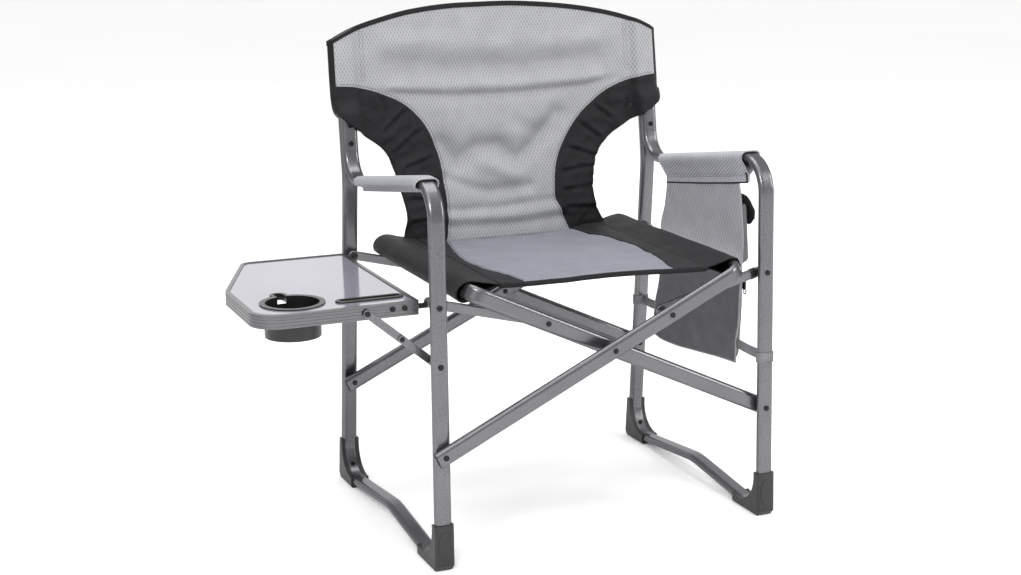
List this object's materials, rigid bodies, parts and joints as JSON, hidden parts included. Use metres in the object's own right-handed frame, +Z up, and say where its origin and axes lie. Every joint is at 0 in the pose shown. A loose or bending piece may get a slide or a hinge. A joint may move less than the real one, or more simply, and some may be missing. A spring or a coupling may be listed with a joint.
{
  "type": "folding camp chair",
  "caption": "Folding armchair with crossed tubular legs, sling seat and back, flip-up side table with a cup holder, and a hanging side organiser.",
  "frame": {"origin": "middle of the footprint of the whole object, on the floor", "axes": "+Z up, the chair faces -Y, the side table is on -X and the organiser on +X"},
  "size_m": [0.8947, 0.5214, 0.861],
  "materials": {
    "frame_tube": "silver-grey hammered powder coat",
    "link_metal": "satin grey paint",
    "boot_plastic": "moulded dark grey plastic",
    "plug_plastic": "black plastic",
    "rivet_steel": "dark plated steel",
    "table_alloy": "satin extruded rim",
    "table_laminate": "glossy pale grey laminate",
    "cup_plastic": "black moulded plastic",
    "hinge_steel": "black paint",
    "arm_cloth": "light grey mesh weave",
    "seat_cloth": "ribbed grey centre with black sides",
    "back_cloth": "grey patterned mesh with black wings",
    "pouch_cloth": "grey weave",
    "black_cloth": "black webbing",
    "zip_metal": "black and bright metal"
  },
  "bodies": {
    "left_frame": {"left_side_frame": "frame_tube", "left_front_boot": "boot_plastic", "left_rear_boot": "boot_plastic", "left_boot_screws": "rivet_steel", "left_arm_rivets": "rivet_steel", "left_post_plug": "plug_plastic", "left_crossbar_pins": "rivet_steel", "left_link_pins": "rivet_steel", "left_post_bushes": "plug_plastic", "brace_post_pins": "rivet_steel", "left_arm_sleeve": "arm_cloth", "backrest": "back_cloth"},
    "crossbar_one": {"crossbar_one": "frame_tube", "crossing_pins": "rivet_steel", "crossing_bushes": "plug_plastic", "crossbar_one_rivets": "rivet_steel"},
    "crossbar_two": {"crossbar_two": "frame_tube", "crossbar_two_rivets": "rivet_steel", "seat": "seat_cloth"},
    "right_frame": {"right_side_frame": "frame_tube", "right_front_boot": "boot_plastic", "right_rear_boot": "boot_plastic", "right_boot_screws": "rivet_steel", "right_arm_rivets": "rivet_steel", "right_post_plug": "plug_plastic", "right_crossbar_pins": "rivet_steel", "right_link_pins": "rivet_steel", "right_post_bushes": "plug_plastic", "right_arm_sleeve": "arm_cloth", "pouch_panel": "pouch_cloth", "upper_pocket": "pouch_cloth", "lower_pocket": "pouch_cloth", "pocket_flap": "black_cloth", "front_pouch_strap": "black_cloth", "rear_pouch_strap": "black_cloth"},
    "left_links": {"front_left_link": "link_metal", "rear_left_link": "link_metal", "left_link_studs": "plug_plastic"},
    "right_links": {"front_right_link": "link_metal", "rear_right_link": "link_metal", "right_link_studs": "plug_plastic"},
    "side_table": {"table_frame": "table_alloy", "table_panel": "table_laminate", "cup_holder": "cup_plastic", "slot_trim": "cup_plastic", "front_hinge_arm": "hinge_steel", "rear_hinge_arm": "hinge_steel", "hinge_bolts": "rivet_steel", "brace_bolts": "rivet_steel"},
    "upper_braces": {"front_upper_brace": "link_metal", "rear_upper_brace": "link_metal"},
    "lower_braces": {"front_lower_brace": "link_metal", "rear_lower_brace": "link_metal", "brace_knuckle_pins": "rivet_steel"},
    "zip_slider": {"zip_slider": "zip_metal"}
  },
  "joints": [
    {"name": "fold", "type": "hinge", "parent": "left_frame", "child": "crossbar_one", "pos_m": [-0.1698, -0.00115, 0.191], "axis": [0, -1, 0], "range_deg": [0, 49.8], "deforming": ["seat", "backrest"]},
    {"name": "crossing", "type": "hinge", "parent": "crossbar_one", "child": "crossbar_two", "pos_m": [0.1247, -0.00115, 0.32958], "axis": [0, -1, 0], "range_deg": [-99.7, 0]},
    {"name": "right_fold", "type": "hinge", "parent": "crossbar_two", "child": "right_frame", "pos_m": [0.4192, -0.00115, 0.191], "axis": [0, -1, 0], "range_deg": [0, 49.9]},
    {"name": "left_link_turn", "type": "hinge", "parent": "left_frame", "child": "left_links", "pos_m": [-0.1698, -0.00115, 0.4265], "axis": [0, -1, 0], "range_deg": [0, 88.2]},
    {"name": "right_link_turn", "type": "hinge", "parent": "right_frame", "child": "right_links", "pos_m": [0.4192, -0.00115, 0.4265], "axis": [0, -1, 0], "range_deg": [-88.2, 0]},
    {"name": "table_drop", "type": "hinge", "parent": "left_frame", "child": "side_table", "pos_m": [-0.1698, -0.00115, 0.4265], "axis": [0, -1, 0], "range_deg": [0, 90]},
    {"name": "upper_brace_turn", "type": "hinge", "parent": "side_table", "child": "upper_braces", "pos_m": [-0.2728, -0.00115, 0.419], "axis": [0, -1, 0], "range_deg": [0, 46.1]},
    {"name": "lower_brace_turn", "type": "hinge", "parent": "left_frame", "child": "lower_braces", "pos_m": [-0.1698, -0.00115, 0.3325], "axis": [0, -1, 0], "range_deg": [-50.2, 0]},
    {"name": "zip_slide", "type": "slide", "parent": "right_frame", "child": "zip_slider", "axis": [0, 1, 0], "range_m": [0, 0.25]}
  ],
  "couplings": [
    {"joint": "crossing", "follows": "fold", "ratio": -2},
    {"joint": "right_fold", "follows": "fold", "ratio": 1},
    {"joint": "left_link_turn", "follows": "fold", "ratio": 1.7685},
    {"joint": "right_link_turn", "follows": "fold", "ratio": -1.7685},
    {"joint": "upper_brace_turn", "follows": "table_drop", "ratio": 0.511},
    {"joint": "lower_brace_turn", "follows": "table_drop", "ratio": -0.556}
  ]
}
